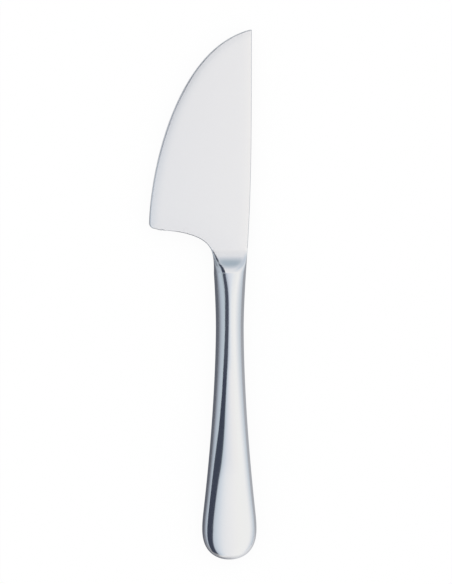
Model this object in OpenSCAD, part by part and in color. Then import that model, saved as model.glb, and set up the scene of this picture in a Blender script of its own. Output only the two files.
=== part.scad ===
// Cheese knife with a wide forged blade and a brazed, cement-filled hollow handle.
// It lies flat: +Z is up from the blade's face, +Y runs from the butt to the tip, and the edge is
// towards -X. Inside the modules the handle's axis is X = 0, its end is Y = 0, and the joint plane
// of its two shells is Z = 0. The origin of the finished knife is under the middle of its box.

/* [Knife] */
// Length of the whole knife, from the butt to the tip
knife_l = 200; // [185:1:215]
// Length of the handle's shells, from the butt to their mouth
handle_l = 108; // [98:1:118]

/* [Blade] */
// Width of the blade, from its back to the widest point of its edge
blade_w = 38.6; // [34:0.1:44]
// Thickness of the blade between its two flat faces
blade_t = 1.8; // [1.4:0.1:2.4]
// Distance of the blade's straight back from the handle's axis
back_off = 8.05; // [7.5:0.05:9.5]
// Length over which the back eases in from its straight line to the neck
back_ease_l = 70; // [55:1:80]
// Softening of the back's two corners
back_soft = 0.35; // [0.2:0.05:0.5]
// Width of the blunt end where the edge meets the back at the tip
tip_w = 0.8; // [0.5:0.1:1.5]

/* [Edge] */
// How far past the back the curve of the edge would reach its top
edge_over = 12.5; // [12:0.5:20]
// Thickness left along the edge, which cuts cheese and stays blunt
edge_t = 0.4; // [0.3:0.05:0.7]
// Width of the shallow rounded grind along the edge on both faces
grind_w = 6; // [3:0.5:8]
// How much that grind takes off each face by the time it gets to the edge
grind_depth = 0.13; // [0.05:0.01:0.2]
// Width of the steeper bevel right along the edge, which takes the rest
bevel_w = 0.9; // [0.5:0.1:1]

/* [Heel] */
// Height of the heel's foot above the mouth of the handle
heel_h = 16.8; // [14:0.2:20]
// Radius of the heel's corner
heel_r = 2.2; // [1.5:0.1:3]
// Fall of the foot from the corner to where it starts to curve into the neck
heel_fall = 0.6; // [0.2:0.1:1.6]
// Height of the curve that carries the foot into the neck
return_h = 24; // [20:0.5:28]

/* [Handle] */
// Width of the handle at its slim neck
neck_w = 10.5; // [9.5:0.1:13]
// Thickness of the handle at its slim neck
neck_t = 8; // [7:0.1:9.5]
// Distance of the slim neck from the butt
neck_y = 88; // [76:1:92]
// Width that the handle's taper would reach at its very end if the end were not rounded
butt_w = 24.1; // [21:0.1:27]
// Thickness that the taper would reach there
butt_t = 9; // [8:0.1:11]
// Length of the rounding of the end, seen on the knife's face
butt_round_w = 20; // [15:0.5:24]
// Length of the rounding of the end, seen from the knife's side
butt_round_t = 12; // [6:0.5:15]
// Width of the handle at its mouth
mouth_w = 12.1; // [11.6:0.1:14]
// Thickness of the handle at its mouth
mouth_t = 8.4; // [7.5:0.1:10]

/* [Shells and braze] */
// Wall of the two pressed half shells
wall = 0.7; // [0.5:0.05:1]
// Thickness of the braze in the seam between the shells
seam_t = 0.1; // [0.06:0.02:0.2]
// Thickness of the braze between the shells' mouth and the collar
joint_t = 0.1; // [0.06:0.02:0.2]

/* [Collar, spigot and tang] */
// Length of the collar that swells from the blade's faces to the handle's thickness
collar_l = 9.4; // [8:0.2:11]
// Length of the spigot that fills the shells' mouth
spigot_l = 7; // [4:0.5:10]
// Play of the spigot in the shells, which the braze wets
spigot_play = 0.05; // [0.03:0.01:0.1]
// Length of the tang below the spigot
tang_l = 46; // [30:1:55]
// Width of the tang where it leaves the spigot
tang_w = 6; // [4:0.2:7]
// Width of the tang at its end
tang_end_w = 3.4; // [2.5:0.1:4]
// Thickness of the tang
tang_t = 2.6; // [1.8:0.1:3.2]

/* [Cement core] */
// Play between the cement and the steel round it, left by its shrinking
core_play = 0.05; // [0.03:0.01:0.1]

/* [Hidden] */

// Powers of the curves. 2 is an ellipse or a parabola, and more is squarer or steeper.
edge_side_power = 2.6;
edge_top_power = 1.64;
return_side_power = 1.69;
return_top_power = 6.4;
back_power = 2.8;
taper_power = 1.73;
mouth_power = 1.6;
butt_round_power = 3.27;
// Powers of the handle's section at three places, and of its change from the neck to the others
neck_section_power = 2;
butt_section_power = 3.4;
mouth_section_power = 2.8;
squarer_to_butt = 1.2;
squarer_to_mouth = 4;
// Power of the collar's section where it ends on the blade, of its change, and of its fall
collar_end_power = 14;
squarer_to_blade = 1.6;
collar_fall_power = 0.85;
// Share of the foot, from the neck to the heel's corner, that the return curve takes
return_share = 0.9;
// Least share of the grind that the heel's corner starts with
grind_start_share = 0.06;
// Places across the bevel and then the grind, as shares of their widths
bevel_shares = [0, 0.25, 0.55, 1];
grind_shares = [0.35, 0.65, 1];
// Most of a rib's width that the softening of the back takes, close to the tip
back_soft_share = 0.25;
// How deep the blade's plate and the collar sink into each other's sides where they cross
cross = 0.1;
// How far the end of the collar lies below the blade's faces
collar_sink = 0.03;
// How far one solid of the forging runs into the next
run_in = 1;

// Steps along and round the curved surfaces
return_steps = 14;
corner_steps = 6;
edge_steps = 28;
butt_steps = 12;
body_steps = 20;
collar_steps = 10;
core_steps = 18;
half_steps = 18;

// Levels along the axis
collar_y = handle_l + joint_t;
spigot_y = handle_l - spigot_l;
foot_y = handle_l + heel_h;
widest_y = foot_y + heel_r;

// Reach of the edge and of the blade's own sides at the neck
edge_x = back_off - blade_w;
root_x = mouth_w / 2 - cross;

// An ellipse-like arc: u runs from 0 at its side to 90 at its top
function arc_side(u, power) = pow(cos(u), 2 / power);
function arc_top(u, power) = pow(sin(u), 2 / power);

// Left side of the blade: the foot and its return into the neck
return_w = return_share * (-edge_x - heel_r - root_x);
return_x = -root_x - return_w;
return_top_y = foot_y - heel_fall;
return_y = return_top_y - return_h;
root_y = collar_y + run_in;
root_u = asin(pow((root_y - return_y) / return_h, return_top_power / 2));
return_side = [
  for (i = [0:return_steps])
    let (u = root_u + (90 - root_u) * i / return_steps)
      [return_x + return_w * arc_side(u, return_side_power),
       return_y + return_h * arc_top(u, return_top_power)]
];
function return_side_x(y) =
  return_x + return_w * pow(1 - pow((y - return_y) / return_h, return_top_power),
                            1 / return_side_power);

// The heel's corner, a plain arc
corner_side = [
  for (i = [0:corner_steps - 1])
    let (u = 90 * i / corner_steps)
      [edge_x + heel_r * (1 - sin(u)), widest_y - heel_r * cos(u)]
];

// The edge, an arc from the heel to the tip
edge_w = blade_w + edge_over;
tip_x = back_off - tip_w;
edge_axis_x = back_off + edge_over;
tip_u = acos(pow((edge_axis_x - tip_x) / edge_w, edge_side_power / 2));
edge_h = (knife_l - widest_y) / arc_top(tip_u, edge_top_power);
edge_side = [
  for (i = [0:edge_steps])
    let (u = tip_u * i / edge_steps)
      [edge_axis_x - edge_w * arc_side(u, edge_side_power),
       widest_y + edge_h * arc_top(u, edge_top_power)]
];

// The whole left side from the root to the tip, and how much of the grind each point has
blade_side = concat(return_side, corner_side, edge_side);
first_corner = len(return_side);
first_edge = first_corner + len(corner_side);
function grind_share(i) =
  i < first_corner ? 0 :
  i < first_edge ? (i - first_corner) / corner_steps : 1;

// Right side of the blade: its back, easing in to the neck
function back_x(y) =
  back_off - (back_off - root_x)
    * pow(max(1 - (y - handle_l) / back_ease_l, 0), back_power);

// How steeply the left side rises at point i, as the sine of its slope
function rise(i) =
  let (a = blade_side[max(i - 1, 0)])
  let (b = blade_side[min(i + 1, len(blade_side) - 1)])
    (b[1] - a[1]) / norm(b - a);

// Half thickness of the blade at a distance d in from its edge, where it has a share of the grind
// and the bevel: each is a rounded fall that runs into the face inside it without a line
bevel_depth = (blade_t - edge_t) / 2 - grind_depth;
grind_steps = concat(bevel_w * bevel_shares, grind_w * grind_shares);
function fall(d, width, depth) = depth * pow(max(1 - d / width, 0), 2);
function ground(d, share) =
  blade_t / 2
    - share * fall(d, bevel_w * share, bevel_depth)
    - share * fall(d, grind_w * share, grind_depth);

// One rib of the blade across its width at point i of the left side
function rib(i) =
  let (x = blade_side[i][0])
  let (y = blade_side[i][1])
  let (end_x = back_x(y))
  let (share = max(grind_share(i), grind_start_share))
  let (slope = rise(i))
  let (soft = min(back_soft, (end_x - x) * back_soft_share))
  let (span = end_x - soft - x)
  let (last = len(grind_steps))
  let (top = [
    for (k = [0:last - 1])
      let (d = min(grind_steps[k] * share / slope, span * k / last))
        [x + d, y, ground(d * slope, share)]
  ])
  let (back_z = ground((end_x - x) * slope, share))
    concat(
      [[end_x, y, back_z - soft / 2], [end_x - soft, y, back_z]],
      [for (k = [last - 1:-1:0]) top[k]],
      [for (k = [0:last - 1]) [top[k][0], y, -top[k][2]]],
      [[end_x - soft, y, -back_z], [end_x, y, soft / 2 - back_z]]
    );

// A measure of the handle at y, between its values at the neck, the butt and the mouth
function between(y, at_neck, at_butt, at_mouth, butt_power, mouth_power) =
  at_neck
    + (at_butt - at_neck) * pow(max(1 - y / neck_y, 0), butt_power)
    + (at_mouth - at_neck) * pow(max(y - neck_y, 0) / (handle_l - neck_y), mouth_power);

// Sides of the handle: a taper with a slim neck, flared to the mouth, less an inset, rounded off
// at the butt
function taper(y, at_neck, at_butt, at_mouth) =
  between(y, at_neck, at_butt, at_mouth, taper_power, mouth_power) / 2;
function butt_round(y, length, power) =
  y >= length ? 1 : sqrt(1 - pow(1 - y / length, power));
function half_w(y, inset) =
  (taper(y, neck_w, butt_w, mouth_w) - inset) * butt_round(y, butt_round_w, butt_round_power);
function half_t(y, inset) =
  (taper(y, neck_t, butt_t, mouth_t) - inset) * butt_round(y, butt_round_t, 2);
function section_power(y) =
  between(y, neck_section_power, butt_section_power, mouth_section_power,
          squarer_to_butt, squarer_to_mouth);

// Where a station of the outside lies on a surface that is inset from it, and the way back
function inset_y(y, inset) = inset + y * (handle_l - inset) / handle_l;
function outside_y(y, inset) = (y - inset) * handle_l / (handle_l - inset);

// A point of a rounded section: a is the turn from +X towards +Z
function on_section(a, x0, w, t, power) =
  let (reach = pow(pow(abs(cos(a)), power) + pow(abs(sin(a)), power), -1 / power))
    [x0 + w * reach * cos(a), t * reach * sin(a)];

// The handle's section at a station, whole or only its upper half down to the seam
function handle_ring(y, inset) = [
  for (j = [0:2 * half_steps - 1])
    let (p = on_section(180 * j / half_steps, 0, half_w(y, inset), half_t(y, inset),
                        section_power(y)))
      [p[0], inset_y(y, inset), p[1]]
];
function half_ring(y, inset) = [
  for (j = [0:half_steps])
    let (p = on_section(180 * j / half_steps, 0, half_w(y, inset), half_t(y, inset),
                        section_power(y)))
      [p[0], inset_y(y, inset), max(p[1], seam_t / 2)]
];

// Stations along the handle, close together where the butt rounds off
stations = concat(
  [for (i = [1:butt_steps]) butt_round_w * (1 - cos(90 * i / butt_steps))],
  [for (i = [1:body_steps]) butt_round_w + (handle_l - butt_round_w) * i / body_steps]
);

// The collar: its sides run on from the mouth to just inside the blade's own, and its faces fall
// in a smooth S to just below the blade's faces
function smooth(v) = v * v * (3 - 2 * v);
function collar_ring(v) =
  let (y = collar_y + collar_l * v)
  let (out = cross * (1 - 2 * v))
  let (left = v == 0 ? -mouth_w / 2 : return_side_x(y) - out)
  let (right = v == 0 ? mouth_w / 2 : back_x(y) + out)
  let (end_t = blade_t / 2 - collar_sink)
  let (t = end_t + (mouth_t / 2 - end_t) * smooth(1 - pow(v, collar_fall_power)))
  let (power = mouth_section_power
    + (collar_end_power - mouth_section_power) * pow(v, squarer_to_blade))
    [for (j = [0:2 * half_steps - 1])
      let (p = on_section(180 * j / half_steps, (left + right) / 2, (right - left) / 2, t, power))
        [p[0], y, p[1]]
    ];
function spigot_ring(y) =
  let (inset = wall + spigot_play)
    [for (p = handle_ring(outside_y(min(y, handle_l), inset), inset)) [p[0], y, p[2]]];

// Place of the knife's own frame, from its furthest points
butt_x = max([for (y = stations) half_w(y, 0)]);
belly_z = max([for (y = stations) half_t(y, 0)]);
module placed() {
  translate([-(edge_x + butt_x) / 2, -knife_l / 2, belly_z])
    children();
}

// Triangles of a strip between two rows of n points that start at a and b
function strip(a, b, n, flip = false) = [
  for (j = [0:n - 2])
    for (f = [[a + j, b + j, b + j + 1], [a + j, b + j + 1, a + j + 1]])
      flip ? [f[2], f[1], f[0]] : f
];

// A closed solid through equal rings of points, with a point or a flat face at each end
module skin(rings, start_point = undef) {
  n = len(rings[0]);
  last = (len(rings) - 1) * n;
  pole = len(rings) * n;
  points = concat([for (r = rings) each r], is_undef(start_point) ? [] : [start_point]);
  sides = [
    for (i = [0:len(rings) - 2])
      for (j = [0:n - 1])
        let (a = i * n)
        let (k = (j + 1) % n)
          each [[a + j, a + k, a + n + k], [a + j, a + n + k, a + n + j]]
  ];
  start = is_undef(start_point)
    ? [[for (j = [n - 1:-1:0]) j]]
    : [for (j = [0:n - 1]) [pole, (j + 1) % n, j]];
  end = [[for (j = [0:n - 1]) last + j]];
  polyhedron(points = points, faces = concat(sides, start, end), convexity = 6);
}

// The blade: plate, collar, spigot and tang in one forging
module blade() {
  color("gainsboro")
    placed() {
      skin([for (i = [0:len(blade_side) - 1]) rib(i)]);
      skin(concat(
        [for (y = [spigot_y, (spigot_y + handle_l) / 2, handle_l, collar_y]) spigot_ring(y)],
        [for (i = [0:collar_steps]) collar_ring(i / collar_steps)]
      ));
      tang(0);
    }
}

// The tang, or with a play round it the slot that holds it
module tang(play) {
  end_y = spigot_y - tang_l - play;
  top_y = spigot_y + run_in;
  translate([0, 0, -tang_t / 2 - play])
    linear_extrude(tang_t + 2 * play)
      polygon([
        [-tang_end_w / 2 - play, end_y],
        [tang_end_w / 2 + play, end_y],
        [tang_w / 2 + play, top_y],
        [-tang_w / 2 - play, top_y],
      ]);
}

// One pressed half shell, above the seam
module half_shell() {
  n = half_steps + 1;
  rows = len(stations);
  inner = rows * n;
  outer_pole = 2 * inner;
  inner_pole = outer_pole + 1;
  last = (rows - 1) * n;
  points = concat(
    [for (y = stations) each half_ring(y, 0)],
    [for (y = stations) each half_ring(y, wall)],
    [[0, 0, seam_t / 2], [0, wall, seam_t / 2]]
  );
  skins = [
    for (i = [0:rows - 2])
      each concat(
        strip(i * n, (i + 1) * n, n),
        strip(inner + i * n, inner + (i + 1) * n, n, flip = true)
      )
  ];
  butt = [
    for (j = [0:n - 2])
      each [[outer_pole, j, j + 1], [inner_pole, inner + j + 1, inner + j]]
  ];
  mouth = strip(last, inner + last, n);
  rims = [
    for (i = [0:rows - 2])
      for (side = [0, half_steps])
        let (a = i * n + side)
        let (b = a + n)
          each side == 0
            ? [[a, inner + b, b], [a, inner + a, inner + b]]
            : [[a, b, inner + b], [a, inner + b, inner + a]]
  ];
  rim_ends = [
    [outer_pole, inner, 0],
    [outer_pole, inner_pole, inner],
    [outer_pole, half_steps, inner + half_steps],
    [outer_pole, inner + half_steps, inner_pole],
  ];
  polyhedron(points = points, faces = concat(skins, butt, mouth, rims, rim_ends), convexity = 4);
}

module handle_front_shell() {
  color("silver")
    placed()
      half_shell();
}

module handle_back_shell() {
  color("silver")
    placed()
      mirror([0, 0, 1])
        half_shell();
}

// Outline of the handle at the seam, on both sides of its axis
function seam_outline(inset) = concat(
  [for (i = [len(stations) - 1:-1:0])
    [half_w(stations[i], inset), inset_y(stations[i], inset)]],
  [[0, inset]],
  [for (y = stations) [-half_w(y, inset), inset_y(y, inset)]]
);

// Braze in the seam, a thin U between the rims of the two shells
module seam_braze() {
  inside = seam_outline(wall);
  color("lightsteelblue")
    placed()
      translate([0, 0, -seam_t / 2])
        linear_extrude(seam_t)
          polygon(concat(seam_outline(0), [for (i = [len(inside) - 1:-1:0]) inside[i]]));
}

// Braze between the shells' mouth and the collar, a thin ring round the spigot
module collar_braze() {
  color("lightsteelblue")
    placed()
      translate([0, collar_y, 0])
        rotate([90, 0, 0])
          linear_extrude(joint_t)
            difference() {
              polygon([for (p = handle_ring(handle_l, 0)) [p[0], p[2]]]);
              polygon([for (p = spigot_ring(handle_l)) [p[0], p[2]]]);
            }
}

// Cement that fills the shells below the spigot and holds the tang
module handle_core() {
  inset = wall + core_play;
  top_y = outside_y(spigot_y - core_play, inset);
  butt_half_steps = butt_steps / 2;
  levels = concat(
    [for (i = [1:butt_half_steps]) butt_round_w * (1 - cos(90 * i / butt_half_steps))],
    [for (i = [1:core_steps]) butt_round_w + (top_y - butt_round_w) * i / core_steps]
  );
  color("tan")
    placed()
      difference() {
        skin([for (y = levels) handle_ring(y, inset)], start_point = [0, inset, 0]);
        tang(core_play);
      }
}

blade();
handle_front_shell();
handle_back_shell();
collar_braze();
seam_braze();
handle_core();
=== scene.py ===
import math
from functools import partial

import bmesh
import bpy
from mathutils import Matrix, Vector


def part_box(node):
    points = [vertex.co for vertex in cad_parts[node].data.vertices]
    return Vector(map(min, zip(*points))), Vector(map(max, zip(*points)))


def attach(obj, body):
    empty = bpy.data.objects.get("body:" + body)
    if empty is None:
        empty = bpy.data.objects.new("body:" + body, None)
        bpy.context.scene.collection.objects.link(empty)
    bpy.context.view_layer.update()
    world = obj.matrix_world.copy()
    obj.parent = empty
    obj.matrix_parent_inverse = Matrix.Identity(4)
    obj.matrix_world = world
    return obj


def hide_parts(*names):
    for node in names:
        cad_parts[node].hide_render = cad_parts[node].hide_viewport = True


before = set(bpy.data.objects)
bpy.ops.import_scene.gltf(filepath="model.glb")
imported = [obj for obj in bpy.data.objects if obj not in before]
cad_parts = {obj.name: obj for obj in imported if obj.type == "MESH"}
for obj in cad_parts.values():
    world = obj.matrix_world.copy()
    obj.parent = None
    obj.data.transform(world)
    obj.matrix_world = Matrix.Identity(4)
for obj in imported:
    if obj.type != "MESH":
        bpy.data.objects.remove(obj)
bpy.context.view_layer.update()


# The blade is one drop forging of hardened stainless steel with its collar, its spigot and its
# tang. Its plate is ground to a thin rounded edge and glazed with fine lines across it, and its
# collar is polished. It comes first, because the handle is built round the spigot and the tang.
MM = 0.001
SEAM_T = 0.1 * MM
shell_low, shell_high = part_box("handle_front_shell")
blade_low, blade_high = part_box("blade")
AXIS_X = (shell_low.x + shell_high.x) / 2
BUTT_Y = shell_low.y
SEAM_Z = shell_low.z - SEAM_T / 2
HANDLE_L = shell_high.y - BUTT_Y
KNIFE_L = blade_high.y - BUTT_Y
EDGE_X = blade_low.x - AXIS_X
BACK_X = blade_high.x - AXIS_X

# The handle's sides, which the spigot follows inside the shells
NECK_W = 10.5 * MM
NECK_T = 8 * MM
NECK_Y = 88 * MM
BUTT_W = 24.08 * MM
BUTT_T = 8.98 * MM
BUTT_ROUND_W = 20 * MM
BUTT_ROUND_T = 12 * MM
MOUTH_W = 12.1 * MM
MOUTH_T = 8.4 * MM
TAPER_POWER = 1.73
MOUTH_POWER = 1.6
BUTT_ROUND_W_POWER = 3.27
BUTT_ROUND_T_POWER = 2
NECK_SQUARENESS = 2
BUTT_SQUARENESS = 3.4
MOUTH_SQUARENESS = 2.8
SQUARER_TO_BUTT = 1.2
SQUARER_TO_MOUTH = 4


def between(y, at_neck, at_butt, at_mouth, butt_power=TAPER_POWER, mouth_power=MOUTH_POWER):
    """A measure of the handle at y from its butt, between its values at three places."""
    towards_butt = max(1 - y / NECK_Y, 0) ** butt_power
    towards_mouth = (max(y - NECK_Y, 0) / (HANDLE_L - NECK_Y)) ** mouth_power
    return (at_neck + (at_butt - at_neck) * towards_butt
            + (at_mouth - at_neck) * towards_mouth)


def rounding(y, length, power):
    """How much of the handle's size is left where its butt rounds off."""
    return 1 if y >= length else math.sqrt(1 - (1 - y / length) ** power)


def rounded(turn, squareness):
    """A point of a unit section: squareness 2 is a circle, and more has flatter sides."""
    across, up = math.cos(turn), math.sin(turn)
    reach = (abs(across) ** squareness + abs(up) ** squareness) ** (-1 / squareness)
    return across * reach, up * reach


def handle_section(y, inset, turn):
    """How far across and up the handle's surface, less an inset, lies from its axis."""
    squareness = between(y, NECK_SQUARENESS, BUTT_SQUARENESS, MOUTH_SQUARENESS,
                         SQUARER_TO_BUTT, SQUARER_TO_MOUTH)
    across, up = rounded(turn, squareness)
    half_w = between(y, NECK_W, BUTT_W, MOUTH_W) / 2 - inset
    half_t = between(y, NECK_T, BUTT_T, MOUTH_T) / 2 - inset
    return (across * half_w * rounding(y, BUTT_ROUND_W, BUTT_ROUND_W_POWER),
            up * half_t * rounding(y, BUTT_ROUND_T, BUTT_ROUND_T_POWER))


def placed(x, y, z):
    """A point by its distance from the handle's axis, its butt and its seam."""
    return Vector((AXIS_X + x, BUTT_Y + y, SEAM_Z + z))


# The tang and the spigot
WALL = 0.7 * MM
SPIGOT_PLAY = 0.05 * MM
SPIGOT_L = 7 * MM
SPIGOT_Y = HANDLE_L - SPIGOT_L
TANG_L = 46 * MM
TANG_W = 6 * MM
TANG_END_W = 3.4 * MM
TANG_T = 2.6 * MM
TANG_SQUARENESS = 9
JOINT_T = 0.1 * MM
COLLAR_Y = HANDLE_L + JOINT_T


def tang_point(y, width, turn):
    across, up = rounded(turn, TANG_SQUARENESS)
    return placed(across * width / 2, y, up * TANG_T / 2)


def spigot_point(y, turn):
    inset = WALL + SPIGOT_PLAY
    outside_y = (min(y, HANDLE_L) - inset) * HANDLE_L / (HANDLE_L - inset)
    x, z = handle_section(outside_y, inset, turn)
    return placed(x, y, z)


# The blade's left side: the return from the collar to the foot, the heel's corner and the edge. The
# return takes most of the way to the heel, the foot rises a little over the rest of it, and the
# edge's curve would reach on past the back
COLLAR_WIDER = 0.1 * MM
ROOT_X = MOUTH_W / 2 - COLLAR_WIDER
HEEL_R = 2.2 * MM
FOOT_Y = HANDLE_L + 16.8 * MM
FOOT_RISE = 0.6 * MM
WIDEST_Y = FOOT_Y + HEEL_R
RETURN_SHARE = 0.9
RETURN_W = RETURN_SHARE * (-EDGE_X - HEEL_R - ROOT_X)
RETURN_H = 24 * MM
RETURN_X = -ROOT_X - RETURN_W
RETURN_Y = FOOT_Y - FOOT_RISE - RETURN_H
RETURN_SIDE_POWER = 1.69
RETURN_TOP_POWER = 6.4
EDGE_PAST_BACK = 12.5 * MM
EDGE_W = BACK_X - EDGE_X + EDGE_PAST_BACK
EDGE_SIDE_POWER = 2.6
EDGE_TOP_POWER = 1.64
TIP_W = 0.8 * MM
RETURN_STEPS = 60
HEEL_STEPS = 16
EDGE_STEPS = 120


def return_x(y):
    rise = ((y - RETURN_Y) / RETURN_H) ** RETURN_TOP_POWER
    return RETURN_X + RETURN_W * (1 - rise) ** (1 / RETURN_SIDE_POWER)


def left_side(start_y):
    """The points of the blade's left side from start_y up, each with its share of the grind."""
    points = []
    start = math.asin(((start_y - RETURN_Y) / RETURN_H) ** (RETURN_TOP_POWER / 2))
    for i in range(RETURN_STEPS + 1):
        turn = start + (math.pi / 2 - start) * i / RETURN_STEPS
        y = RETURN_Y + RETURN_H * math.sin(turn) ** (2 / RETURN_TOP_POWER)
        x = RETURN_X + RETURN_W * abs(math.cos(turn)) ** (2 / RETURN_SIDE_POWER)
        points.append((x, y, 0))
    for i in range(HEEL_STEPS):
        turn = math.pi / 2 * i / HEEL_STEPS
        x = EDGE_X + HEEL_R * (1 - math.sin(turn))
        points.append((x, WIDEST_Y - HEEL_R * math.cos(turn), i / HEEL_STEPS))
    tip_share = (EDGE_W + EDGE_X - BACK_X + TIP_W) / EDGE_W
    tip_turn = math.acos(tip_share ** (EDGE_SIDE_POWER / 2))
    edge_h = (KNIFE_L - WIDEST_Y) / math.sin(tip_turn) ** (2 / EDGE_TOP_POWER)
    for i in range(EDGE_STEPS + 1):
        turn = tip_turn * i / EDGE_STEPS
        x = EDGE_X + EDGE_W * (1 - math.cos(turn) ** (2 / EDGE_SIDE_POWER))
        points.append((x, WIDEST_Y + edge_h * math.sin(turn) ** (2 / EDGE_TOP_POWER), 1))
    return points


# The blade's back, easing in to the collar
BACK_EASE_L = 70 * MM
BACK_POWER = 2.8


def back_x(y):
    ease = max(1 - (y - HANDLE_L) / BACK_EASE_L, 0) ** BACK_POWER
    return BACK_X - (BACK_X - ROOT_X) * ease


# The collar's swell and the plate's faces
COLLAR_L = 9.4 * MM
COLLAR_FALL_POWER = 0.85
COLLAR_SQUARENESS = 14
SQUARER_TO_BLADE = 1.6
PLATE_SQUARENESS = 7
PLATE_T = 1.8 * MM
EDGE_T = 0.4 * MM
GRIND_W = 4 * MM
GRIND_DEPTH = 0.12 * MM
BEVEL_W = 0.45 * MM
BEVEL_DEPTH = (PLATE_T - EDGE_T) / 2 - GRIND_DEPTH
BACK_FALL_W = 4 * MM
BACK_FALL = 0.06 * MM
RIM_SOFT = 0.2 * MM
BACK_SOFT = 0.35 * MM
CORNER_SQUARENESS = 3


def smooth(share):
    return share * share * (3 - 2 * share)


def corner(share):
    """The fall of a softened corner towards its side."""
    left = 1 - min(max(share, 0), 1)
    return (1 - left ** CORNER_SQUARENESS) ** (1 / CORNER_SQUARENESS)


def plate_height(from_edge, from_back, grind_share):
    """Half the plate's thickness at a place, by its distance from the edge and the back."""
    lost = 0
    for width, depth, distance, part in (
            (GRIND_W, GRIND_DEPTH, from_edge, grind_share),
            (BEVEL_W, BEVEL_DEPTH, from_edge, grind_share),
            (BACK_FALL_W, BACK_FALL, from_back, 1)):
        reach = width * part
        if max(distance, 0) < reach:
            lost += depth * part * (1 - distance / reach) ** 2
    soft = corner(from_edge / RIM_SOFT) * corner(from_back / BACK_SOFT)
    return (PLATE_T / 2 - lost) * soft


def collar_point(share, turn):
    """A point of the collar, at a share of the way from the shells' mouth to the plate."""
    y = COLLAR_Y + COLLAR_L * share
    wider = COLLAR_WIDER * (1 - share) ** 2
    left, right = return_x(y) - wider, back_x(y) + wider
    squareness = (MOUTH_SQUARENESS
                  + (COLLAR_SQUARENESS - MOUTH_SQUARENESS) * share ** SQUARER_TO_BLADE)
    across, up = rounded(turn, squareness)
    x = (left + right) / 2 + (right - left) / 2 * across
    fall = smooth(1 - share ** COLLAR_FALL_POWER)
    swell = (PLATE_T + (MOUTH_T - PLATE_T) * fall) / 2 * abs(up)
    plate = plate_height(x - left, right - x, 0) * smooth(share)
    return placed(x, y, math.copysign(max(swell, plate), up))


def plate_point(x, y, grind_share, rise, turn):
    """A point of the plate level with a place on its left side, which climbs by rise there."""
    left, right = x, back_x(y)
    across, up = rounded(turn, PLATE_SQUARENESS)
    x = (left + right) / 2 + (right - left) / 2 * across
    height = plate_height((x - left) * rise, right - x, grind_share)
    return placed(x, y, math.copysign(height, up))


# The forging is drawn out of one ring, station by station, from the end of the tang to the tip.
# Each vertex keeps its turn round the ring
RING_SIDES = 192
SPIGOT_STEPS = 6
COLLAR_STEPS = 40
LEAST_RISE = 0.15
SHARP = math.radians(50)
SAME_PLACE = MM / 1000


def draw_out(shape, edges, place, *layers):
    """Extrudes a ring and puts every new vertex in its place, by what its layers hold."""
    made = bmesh.ops.extrude_edge_only(shape, edges=edges)["geom"]
    for part in made:
        if isinstance(part, bmesh.types.BMVert):
            part.co = place(*(part[layer] for layer in layers))
    return [part for part in made if isinstance(part, bmesh.types.BMEdge) and part.is_boundary]


def in_scene(name, shape):
    """Turns a shape into an object of the scene."""
    mesh = bpy.data.meshes.new(name)
    shape.to_mesh(mesh)
    made = bpy.data.objects.new(name, mesh)
    bpy.context.scene.collection.objects.link(made)
    return made


def piece(name, shape, body, slot, *nodes):
    """Turns a finished shape into a piece that stands for the nodes."""
    bmesh.ops.remove_doubles(shape, verts=shape.verts, dist=SAME_PLACE)
    bmesh.ops.recalc_face_normals(shape, faces=shape.faces)
    for face in shape.faces:
        face.smooth = True
    for edge in shape.edges:
        edge.smooth = edge.calc_face_angle(0) < SHARP
    made = in_scene(name, shape)
    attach(made, body)
    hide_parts(*nodes)
    return made


forging = bmesh.new()
turn = forging.verts.layers.float.new("turn")
bmesh.ops.create_circle(forging, cap_ends=True, segments=RING_SIDES, radius=1)
for vertex in forging.verts:
    vertex[turn] = math.atan2(vertex.co.y, vertex.co.x)
    vertex.co = tang_point(SPIGOT_Y - TANG_L, TANG_END_W, vertex[turn])
stations = [partial(tang_point, SPIGOT_Y, TANG_W)]
stations += [partial(spigot_point, SPIGOT_Y + SPIGOT_L * i / SPIGOT_STEPS)
             for i in range(SPIGOT_STEPS + 1)]
stations += [partial(spigot_point, COLLAR_Y)]
stations += [partial(collar_point, i / COLLAR_STEPS) for i in range(COLLAR_STEPS + 1)]
side = left_side(COLLAR_Y + COLLAR_L)
for i in range(1, len(side)):
    before, after = side[i - 1], side[min(i + 1, len(side) - 1)]
    run_x, run_y = after[0] - before[0], after[1] - before[1]
    rise = max(run_y / math.hypot(run_x, run_y), LEAST_RISE)
    stations.append(partial(plate_point, *side[i], rise))
open_ring = forging.edges[:]
for station in stations:
    open_ring = draw_out(forging, open_ring, station, turn)
bmesh.ops.holes_fill(forging, edges=open_ring, sides=0)
blade = piece("forged_blade", forging, "root", "satin_steel", "blade")


class Wire:
    """An output in a finish. Arithmetic on it adds Math nodes."""

    def __init__(self, finish, node, socket):
        self.finish = finish
        self.node = node
        self.socket = socket

    def __getitem__(self, name):
        return Wire(self.finish, self.node, self.node.outputs[name])

    def maths(self, operation, *values):
        return self.finish.node("ShaderNodeMath", {"operation": operation}, *values)

    def __add__(self, other):
        return self.maths("ADD", self, other)

    __radd__ = __add__

    def __mul__(self, other):
        return self.maths("MULTIPLY", self, other)

    def __rsub__(self, other):
        return self.maths("SUBTRACT", other, self)

    def __abs__(self):
        return self.maths("ABSOLUTE", self)


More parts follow.
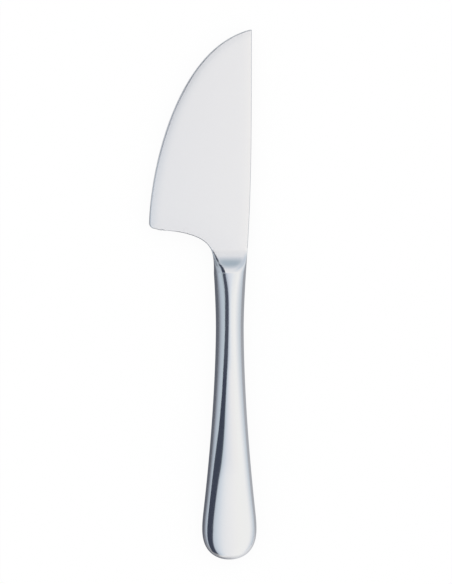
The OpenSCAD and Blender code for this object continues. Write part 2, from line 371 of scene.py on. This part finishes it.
class Finish:
    """The node tree of a material or of the world."""

    def __init__(self, owner):
        owner.use_nodes = True
        self.tree = owner.node_tree
        self.tree.nodes.clear()

    def node(self, kind, settings, *values, **named):
        """Adds a node: its settings first, then its sockets, in order or by name."""
        made = self.tree.nodes.new(kind)
        for name, value in settings.items():
            setattr(made, name, value)
        shown = [socket for socket in made.inputs if socket.enabled]
        pairs = list(zip(shown, values))
        for name, value in named.items():
            words = name.replace("_", " ")
            pairs.append((next(s for s in shown if s.name == words), value))
        for socket, value in pairs:
            if isinstance(value, Wire):
                self.tree.links.new(value.socket, socket)
            else:
                socket.default_value = value
        first = next((socket for socket in made.outputs if socket.enabled), None)
        return Wire(self, made, first)

    def output(self, kind, surface):
        self.node(kind, {}, Surface=surface)


def material(name):
    made = bpy.data.materials.new(name)
    return made, Finish(made)


# Up the collar the polish takes on the warmer tone of the glazed steel, and then its roughness too,
# which is more on the steep sides of the edge and the foot
COLLAR_FOOT_Y = BUTT_Y + COLLAR_Y
GLAZE_FROM = COLLAR_FOOT_Y + 2.2 * MM
SATIN_FROM = COLLAR_FOOT_Y + 5.4 * MM
SATIN_TO = COLLAR_FOOT_Y + 8.4 * MM
COLLAR_TONE = (0.828, 0.83, 0.838, 1)
GLAZE_DARK_TONE = (0.845, 0.837, 0.838, 1)
GLAZE_PALE_TONE = (0.885, 0.876, 0.872, 1)
COLLAR_ROUGHNESS = 0.08
SATIN_ROUGHER = 0.08
GLAZE_ROUGHER = 0.04
CLOUD_ROUGHER = 0.02
STEEP_ROUGHER = 0.5
satin, finish = material("satin_steel")
place = finish.node("ShaderNodeTexCoord", {})["Object"]
lines = finish.node("ShaderNodeMapping", {}, place, Scale=(60, 9000, 3000))
glaze = finish.node("ShaderNodeTexNoise", {}, lines, Scale=1, Detail=3, Roughness=0.6)
cloud = finish.node("ShaderNodeTexNoise", {}, place, Scale=60, Detail=2)
height = finish.node("ShaderNodeSeparateXYZ", {}, place)["Y"]
satin_share = finish.node("ShaderNodeMapRange", {"interpolation_type": "SMOOTHSTEP"}, height,
                          SATIN_FROM, SATIN_TO, 0, 1)
normal = finish.node("ShaderNodeNewGeometry", {})["Normal"]
steep = 1 - abs(finish.node("ShaderNodeSeparateXYZ", {}, normal)["Z"])
roughness = COLLAR_ROUGHNESS + satin_share * (
    SATIN_ROUGHER + glaze * GLAZE_ROUGHER + cloud * CLOUD_ROUGHER + steep * STEEP_ROUGHER)
glazed_share = finish.node("ShaderNodeMapRange", {}, height, GLAZE_FROM, SATIN_FROM, 0, 1)
glazed_tone = finish.node("ShaderNodeMix", {"data_type": "RGBA"}, glaze,
                          GLAZE_DARK_TONE, GLAZE_PALE_TONE)
tone = finish.node("ShaderNodeMix", {"data_type": "RGBA"}, glazed_share,
                   COLLAR_TONE, glazed_tone)
bump = finish.node("ShaderNodeBump", {}, Strength=0.04, Distance=0.02 * MM, Height=glaze)
finish.output("ShaderNodeOutputMaterial", finish.node(
    "ShaderNodeBsdfPrincipled", {}, Base_Color=tone, Metallic=1, Roughness=roughness,
    Normal=bump))
blade.data.materials.append(satin)


# Two half shells are pressed from thin stainless steel sheet, brazed together along their rims and
# on to the collar, then polished to a mirror. The first one made here faces the camera, and its
# twin is its mirror image in the plane of the seam.
SHELL_SIDES = 72
BUTT_STEPS = 44
BODY_STEPS = 80


def shell_point(y, inset, turn):
    x, z = handle_section(y, inset, turn)
    return placed(x, inset + y * (HANDLE_L - inset) / HANDLE_L, max(z, SEAM_T / 2))


shell = bmesh.new()
bmesh.ops.create_grid(shell, x_segments=SHELL_SIDES, y_segments=1, size=1)
turn = shell.verts.layers.float.new("turn")
inner = shell.verts.layers.float.new("inset")
for vertex in shell.verts:
    vertex[turn] = math.pi / 2 * (1 - vertex.co.x)
    vertex[inner] = WALL if vertex.co.y > 0 else 0
    vertex.co = shell_point(HANDLE_L, vertex[inner], vertex[turn])
levels = [BUTT_ROUND_W + (HANDLE_L - BUTT_ROUND_W) * i / BODY_STEPS
          for i in range(BODY_STEPS - 1, 0, -1)]
levels += [BUTT_ROUND_W * (1 - math.cos(math.pi / 2 * i / BUTT_STEPS))
           for i in range(BUTT_STEPS, -1, -1)]
open_ring = [edge for edge in shell.edges if edge.is_boundary]
for y in levels:
    open_ring = draw_out(shell, open_ring, partial(shell_point, y), inner, turn)
twin = shell.copy()
front_shell = piece("front_half_shell", shell, "root", "polished_steel", "handle_front_shell")
bmesh.ops.translate(twin, verts=twin.verts, vec=(0, 0, -SEAM_Z))
bmesh.ops.scale(twin, verts=twin.verts, vec=(1, 1, -1))
bmesh.ops.translate(twin, verts=twin.verts, vec=(0, 0, SEAM_Z))
back_shell = piece("back_half_shell", twin, "root", "polished_steel", "handle_back_shell")

MIRROR_DARK_TONE = (0.82, 0.825, 0.835, 1)
MIRROR_PALE_TONE = (0.85, 0.85, 0.85, 1)
MIRROR_ROUGHNESS = 0.06
SMEAR_ROUGHER = 0.04
SCRATCH_ROUGHER = 0.02
polish, finish = material("polished_steel")
place = finish.node("ShaderNodeTexCoord", {})["Object"]
hairs = finish.node("ShaderNodeMapping", {}, place, Scale=(4000, 90, 4000))
scratch = finish.node("ShaderNodeTexNoise", {}, hairs, Scale=1, Detail=4, Roughness=0.7)
smear = finish.node("ShaderNodeTexNoise", {}, place, Scale=45, Detail=3)
tone = finish.node("ShaderNodeMix", {"data_type": "RGBA"}, smear,
                   MIRROR_DARK_TONE, MIRROR_PALE_TONE)
roughness = MIRROR_ROUGHNESS + smear * SMEAR_ROUGHER + scratch * SCRATCH_ROUGHER
bump = finish.node("ShaderNodeBump", {}, Strength=0.015, Distance=0.01 * MM, Height=scratch)
finish.output("ShaderNodeOutputMaterial", finish.node(
    "ShaderNodeBsdfPrincipled", {}, Base_Color=tone, Metallic=1, Roughness=roughness,
    Normal=bump))
front_shell.data.materials.append(polish)
back_shell.data.materials.append(polish)


# Silver braze fills the hair-thin joints between the two shells and between them and the collar. It
# is polished flush with the steel and is nearly as bright, so the joints hardly show.
BRAZE_DARK_TONE = (0.81, 0.81, 0.81, 1)
BRAZE_PALE_TONE = (0.84, 0.84, 0.835, 1)
BRAZE_ROUGHNESS = 0.07
GRAINS_ROUGHER = 0.04
braze, finish = material("silver_braze")
place = finish.node("ShaderNodeTexCoord", {})["Object"]
grains = finish.node("ShaderNodeTexNoise", {}, place, Scale=3000, Detail=2)
tone = finish.node("ShaderNodeMix", {"data_type": "RGBA"}, grains,
                   BRAZE_DARK_TONE, BRAZE_PALE_TONE)
roughness = BRAZE_ROUGHNESS + grains * GRAINS_ROUGHER
finish.output("ShaderNodeOutputMaterial", finish.node(
    "ShaderNodeBsdfPrincipled", {}, Base_Color=tone, Metallic=1, Roughness=roughness))
for name in ("collar_braze", "seam_braze"):
    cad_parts[name].data.materials.clear()
    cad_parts[name].data.materials.append(braze)


# Cement of resin and quartz sand is poured into the shells before the blade goes in, and holds the
# tang once it sets. It is sealed in, and only its weight is felt.
SAND_TONE = (0.5, 0.44, 0.34, 1)
RESIN_TONE = (0.34, 0.29, 0.22, 1)
CEMENT_ROUGHNESS = 0.7
SAND_ROUGHER = 0.2
cement, finish = material("handle_cement")
place = finish.node("ShaderNodeTexCoord", {})["Object"]
sand = finish.node("ShaderNodeTexVoronoi", {}, place, Scale=2500)
tone = finish.node("ShaderNodeMix", {"data_type": "RGBA"}, sand, SAND_TONE, RESIN_TONE)
roughness = CEMENT_ROUGHNESS + sand * SAND_ROUGHER
bump = finish.node("ShaderNodeBump", {}, Strength=0.4, Distance=0.1 * MM, Height=sand)
finish.output("ShaderNodeOutputMaterial", finish.node(
    "ShaderNodeBsdfPrincipled", {}, Base_Color=tone, Roughness=roughness, Normal=bump))
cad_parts["handle_core"].data.materials.clear()
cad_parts["handle_core"].data.materials.append(cement)


# The knife lies on a plain white floor under an even white sky. Glowing cards that show in
# reflections alone hang round it. Their colours are painted reflections, which give the handle its
# dark stripe and its grey flanks.
FLOOR_R = 4.0
FLOOR_SIDES = 64
SHADE_SHARE = 0.08
WHITE = (1, 1, 1, 1)
floor_shape = bmesh.new()
bmesh.ops.create_circle(floor_shape, cap_ends=True, segments=FLOOR_SIDES, radius=FLOOR_R)
floor = in_scene("floor", floor_shape)
white, finish = material("white_floor")
path = finish.node("ShaderNodeLightPath", {})
seen = path["Is Camera Ray"] + path["Is Glossy Ray"] + path["Is Transmission Ray"]
lit = finish.node("ShaderNodeBsdfDiffuse", {}, Color=WHITE)
glow = finish.node("ShaderNodeEmission", {}, Color=WHITE, Strength=1)
finish.output("ShaderNodeOutputMaterial", finish.node(
    "ShaderNodeMixShader", {}, seen * (1 - SHADE_SHARE), lit, glow))
floor.data.materials.append(white)

sky = bpy.data.worlds.new("sky")
bpy.context.scene.world = sky
finish = Finish(sky)
finish.output("ShaderNodeOutputWorld",
              finish.node("ShaderNodeBackground", {}, Color=WHITE, Strength=1))

# The cards glow in their painted colours with no lamp behind them, and these colours are painted
# reflections.
glow_paint, finish = material("card_glow")
tint = finish.node("ShaderNodeAttribute", {"attribute_name": "tint"})["Color"]
finish.output("ShaderNodeOutputMaterial",
              finish.node("ShaderNodeEmission", {}, Color=tint, Strength=1))


def card(name, make_rib, rows):
    """A sheet through ribs, each a line of coloured places, which only glossy rays see, so its
    colours are painted reflections.
    """
    ribs = [make_rib(*row) for row in rows]
    shape = bmesh.new()
    tint = shape.verts.layers.float_color.new("tint")
    last_rib, last_stop = len(ribs) - 1, len(ribs[0]) - 1
    bmesh.ops.create_grid(shape, x_segments=last_rib, y_segments=last_stop, size=1)
    for vertex in shape.verts:
        rib = ribs[round((vertex.co.x + 1) / 2 * last_rib)]
        colour, point = rib[round((vertex.co.y + 1) / 2 * last_stop)]
        vertex[tint] = (*colour, 1)
        vertex.co = placed(*point)
    made = in_scene(name, shape)
    made.data.materials.append(glow_paint)
    made.visible_camera = False
    made.visible_diffuse = False
    made.visible_shadow = False
    made.visible_transmission = False


# A tent is bent round the knife's length, and its colours are a painted reflection, white overhead
# and greyer down both sides.
# Each rib has its tilt from straight up, in degrees, and its colour
TENT_REACH = 2.2
TENT_LENGTH = 8.0


def tent_rib(tilt, *colour):
    tilt = math.radians(tilt)
    across, up = TENT_REACH * math.sin(tilt), TENT_REACH * math.cos(tilt)
    return (colour, (across, -TENT_LENGTH, up)), (colour, (across, TENT_LENGTH, up))


card("tent", tent_rib, (
    (-92, 0.15, 0.16, 0.18),
    (-73, 0.32, 0.35, 0.41),
    (-57, 0.50, 0.56, 0.64),
    (-42, 0.56, 0.64, 0.71),
    (-24, 0.53, 0.60, 0.66),
    (-18, 0.60, 0.67, 0.75),
    (-13, 0.67, 0.74, 0.81),
    (-9, 0.745, 0.795, 0.865),
    (-5, 0.835, 0.865, 0.91),
    (-2, 0.91, 0.915, 0.945),
    (0, 0.945, 0.945, 0.96),
    (2, 0.98, 0.975, 0.975),
    (5, 0.995, 0.99, 0.98),
    (10, 1.0, 1.0, 0.985),
    (33, 1.0, 1.0, 0.99),
    (45, 0.91, 0.92, 0.945),
    (55, 0.81, 0.845, 0.88),
    (65, 0.72, 0.77, 0.82),
    (76, 0.63, 0.69, 0.75),
    (84, 0.56, 0.61, 0.67),
    (95, 0.47, 0.51, 0.57)))


# A screen past the tip, bent across the knife, greys the slope of the collar with a painted
# reflection, earlier on its right.
# Each rib has its tilt from straight up, in degrees, and its colours on the left and the right
SCREEN_REACH = 1.8
SCREEN_LENGTH = 3.0
SCREEN_LEFT_X = 0.1
SCREEN_RIGHT_X = 0.4


def screen_rib(tilt, left, right):
    tilt = math.radians(tilt)
    along, up = SCREEN_REACH * math.sin(tilt), SCREEN_REACH * math.cos(tilt)
    return tuple((colour, (x, HANDLE_L + along, up)) for x, colour in (
        (-SCREEN_LENGTH, left), (SCREEN_LEFT_X, left), (SCREEN_RIGHT_X, right),
        (SCREEN_LENGTH, right)))


card("screen", screen_rib, (
    (13, (0.935, 0.935, 0.945), (0.94, 0.94, 0.95)),
    (20, (0.905, 0.91, 0.925), (0.905, 0.91, 0.93)),
    (30, (0.89, 0.90, 0.92), (0.82, 0.85, 0.89)),
    (37, (0.86, 0.875, 0.90), (0.68, 0.74, 0.80)),
    (42, (0.835, 0.85, 0.88), (0.63, 0.70, 0.77)),
    (47, (0.71, 0.745, 0.80), (0.61, 0.67, 0.75)),
    (51.6, (0.56, 0.62, 0.68), (0.54, 0.61, 0.68)),
    (54, (0.43, 0.51, 0.58), (0.46, 0.54, 0.61)),
    (92, (0.35, 0.40, 0.45), (0.35, 0.40, 0.45))))


# Two dark flags hang on the left, cut to the stripe that they give the handle and the collar: a
# painted dark reflection. The near one fades out on its inner side, in its own way at the butt, the
# middle and the neck. A fade is the flag's dark, then paler stops, each with its distance across
# and its colour
FLAG_UP = 100 * MM
FAR_FLAG_UP = 800 * MM
LEAST_FADE_W = 4
DARK = (0.05, 0.06, 0.09)
BUTT_FADE = (
    DARK,
    (-40, 0.56, 0.62, 0.70),
    (-25, 0.66, 0.73, 0.80),
    (-16, 0.75, 0.80, 0.87),
    (-9, 0.84, 0.87, 0.91),
    (-3, 0.91, 0.92, 0.945),
    (2, 0.975, 0.97, 0.975),
    (10, 0.995, 0.99, 0.98))
MIDDLE_FADE = (
    DARK,
    (-40, 0.56, 0.64, 0.71),
    (-11, 0.69, 0.74, 0.82),
    (-5, 0.79, 0.82, 0.88),
    (0, 0.88, 0.89, 0.93),
    (5, 0.94, 0.94, 0.95),
    (15, 0.975, 0.965, 0.96),
    (30, 0.99, 0.98, 0.975))
NECK_FADE = (
    (0.07, 0.08, 0.11),
    (-40, 0.46, 0.51, 0.59),
    (-3, 0.70, 0.75, 0.83),
    (4, 0.82, 0.86, 0.93),
    (11, 0.89, 0.925, 0.95),
    (19, 0.94, 0.95, 0.96),
    (29, 0.965, 0.965, 0.965),
    (40, 0.985, 0.985, 0.98))
NO_FADE = (DARK,)


def flag_rib(up, fade, inner_x, inner_y, outer_x, outer_y):
    """A rib of a flag from its outer side to its inner side and through its fade, in mm."""
    dark, *paler = fade
    stops = [(dark, (outer_x * MM, outer_y * MM, up)), (dark, (inner_x * MM, inner_y * MM, up))]
    for x, *colour in paler:
        stops.append((colour, (max(x, inner_x + LEAST_FADE_W) * MM, inner_y * MM, up)))
    return stops


card("flag", partial(flag_rib, FLAG_UP), (
    (BUTT_FADE, -62, -250, -260, -420),
    (BUTT_FADE, -46, -44, -141, -81),
    (BUTT_FADE, -40, 1, -119, -3),
    (BUTT_FADE, -40, 13, -113, 17),
    (BUTT_FADE, -39, 20, -120, 26),
    (BUTT_FADE, -34, 27, -119, 33),
    (MIDDLE_FADE, -25, 33, -110, 39),
    (MIDDLE_FADE, -22, 40, -93, 44),
    (MIDDLE_FADE, -21, 47, -75, 50),
    (MIDDLE_FADE, -22, 54, -69, 57),
    (MIDDLE_FADE, -22, 61, -64, 63),
    (MIDDLE_FADE, -20, 68, -65, 70),
    (NECK_FADE, -17, 75, -63, 77),
    (NECK_FADE, -16, 83, -60, 83),
    (NECK_FADE, -14, 89, -60, 88),
    (NECK_FADE, -13, 95, -54, 93),
    (NECK_FADE, -15, 99, -44, 96),
    (NECK_FADE, -19, 102, -41, 99),
    (MIDDLE_FADE, -20, 112, -42, 108)))
card("far_flag", partial(flag_rib, FAR_FLAG_UP, NO_FADE), (
    (-112, 250, -327, 215),
    (-121, 396, -341, 322),
    (-112, 679, -332, 538),
    (-101, 897, -277, 748),
    (-112, 1034, -295, 873),
    (-126, 1090, -320, 947)))


# A board behind the far flag dims the left of the collar with a painted darker reflection, and more
# so towards its side and towards the blade. Each rib has its distance across and its colours at the
# near end and the far end
BOARD_UP = 820 * MM
BOARD_YS = (0.12, 0.6, 0.75, 1.5)


def board_rib(x, near, far):
    return tuple((colour, (x, y, BOARD_UP))
                 for colour, y in zip((near, near, far, far), BOARD_YS))


card("left_board", board_rib, (
    (-0.28, (0.53, 0.59, 0.66), (0.50, 0.56, 0.63)),
    (-0.45, (0.52, 0.585, 0.655), (0.42, 0.47, 0.53)),
    (-0.65, (0.50, 0.56, 0.63), (0.29, 0.33, 0.37)),
    (-0.88, (0.475, 0.52, 0.58), (0.23, 0.26, 0.29)),
    (-1.42, (0.40, 0.44, 0.50), (0.18, 0.20, 0.23))))


# A low board past the butt greys the end of the handle with a painted grey reflection, more on its
# left. Each rib has its distance across and its tones from the floor up
LOW_BOARD_Y = -1.5
LOW_BOARD_UPS = (-SEAM_Z, 0.15, 0.5)
LOW_BOARD_BLUE = 0.01


def low_board_rib(x, *tones):
    return tuple(((tone, tone, tone + LOW_BOARD_BLUE), (x, LOW_BOARD_Y, up))
                 for tone, up in zip(tones, LOW_BOARD_UPS))


card("low_board", low_board_rib, (
    (-5.0, 0.20, 0.24, 0.40),
    (-0.4, 0.20, 0.24, 0.40),
    (-0.25, 0.50, 0.58, 0.70),
    (-0.1, 0.70, 0.78, 0.92),
    (0.3, 0.82, 0.86, 0.95),
    (1.0, 0.78, 0.84, 0.94),
    (5.0, 0.70, 0.80, 0.90)))


# A sheet on the floor paints the knife's shadow on the floor into the rims' reflections: a painted
# shadow, which darkens the rims. It is dark on the left of the handle and grey on its right, and
# paler past the butt and on the left of the blade
SHEET_W = 1.0
SHEET_CHANGE_W = 5 * MM
SHEET_UP = 0.2 * MM
SHEET_GREEN = 0.01
SHEET_BLUE = 0.04


def painted_shadow_rib(y, left, right):
    return tuple(
        ((tone, tone + SHEET_GREEN, tone + SHEET_BLUE), (x, y, SHEET_UP - SEAM_Z))
        for tone, x in ((left, -SHEET_W), (left, -SHEET_CHANGE_W),
                        (right, SHEET_CHANGE_W), (right, SHEET_W)))


card("painted_shadow_sheet", painted_shadow_rib, (
    (-SHEET_W, 0.45, 0.78),
    (-50 * MM, 0.42, 0.76),
    (-12 * MM, 0.26, 0.73),
    (-4 * MM, 0.18, 0.68),
    (10 * MM, 0.14, 0.46),
    (60 * MM, 0.14, 0.44),
    (100 * MM, 0.14, 0.37),
    (120 * MM, 0.16, 0.40),
    (128 * MM, 0.30, 0.42),
    (140 * MM, 0.62, 0.44),
    (SHEET_W, 0.62, 0.44)))


# The photograph looks straight down on the knife, with its tip at the top. In it, the knife is
# KNIFE_PX long, its butt is BUTT_PX down and its axis is AXIS_PX across.
PHOTO_W = 452
PHOTO_H = 584
KNIFE_PX = 529.7
BUTT_PX = 559.45
AXIS_PX = 229.85
ROLL = math.radians(0.125)
PX = KNIFE_L / KNIFE_PX
CAMERA_UP = 1.2
SENSOR = 36
camera_data = bpy.data.cameras.new("camera")
camera = bpy.data.objects.new("camera", camera_data)
bpy.context.scene.collection.objects.link(camera)
camera.location = (AXIS_X + (PHOTO_W / 2 - AXIS_PX) * PX, BUTT_Y + (BUTT_PX - PHOTO_H / 2) * PX,
                   SEAM_Z + CAMERA_UP)
camera.rotation_euler = (0, 0, ROLL)
camera_data.sensor_width = SENSOR
camera_data.lens = SENSOR * CAMERA_UP / (PHOTO_H * PX)
camera_data.clip_end = 20
bpy.context.scene.camera = camera
bpy.context.scene.view_settings.view_transform = "Standard"
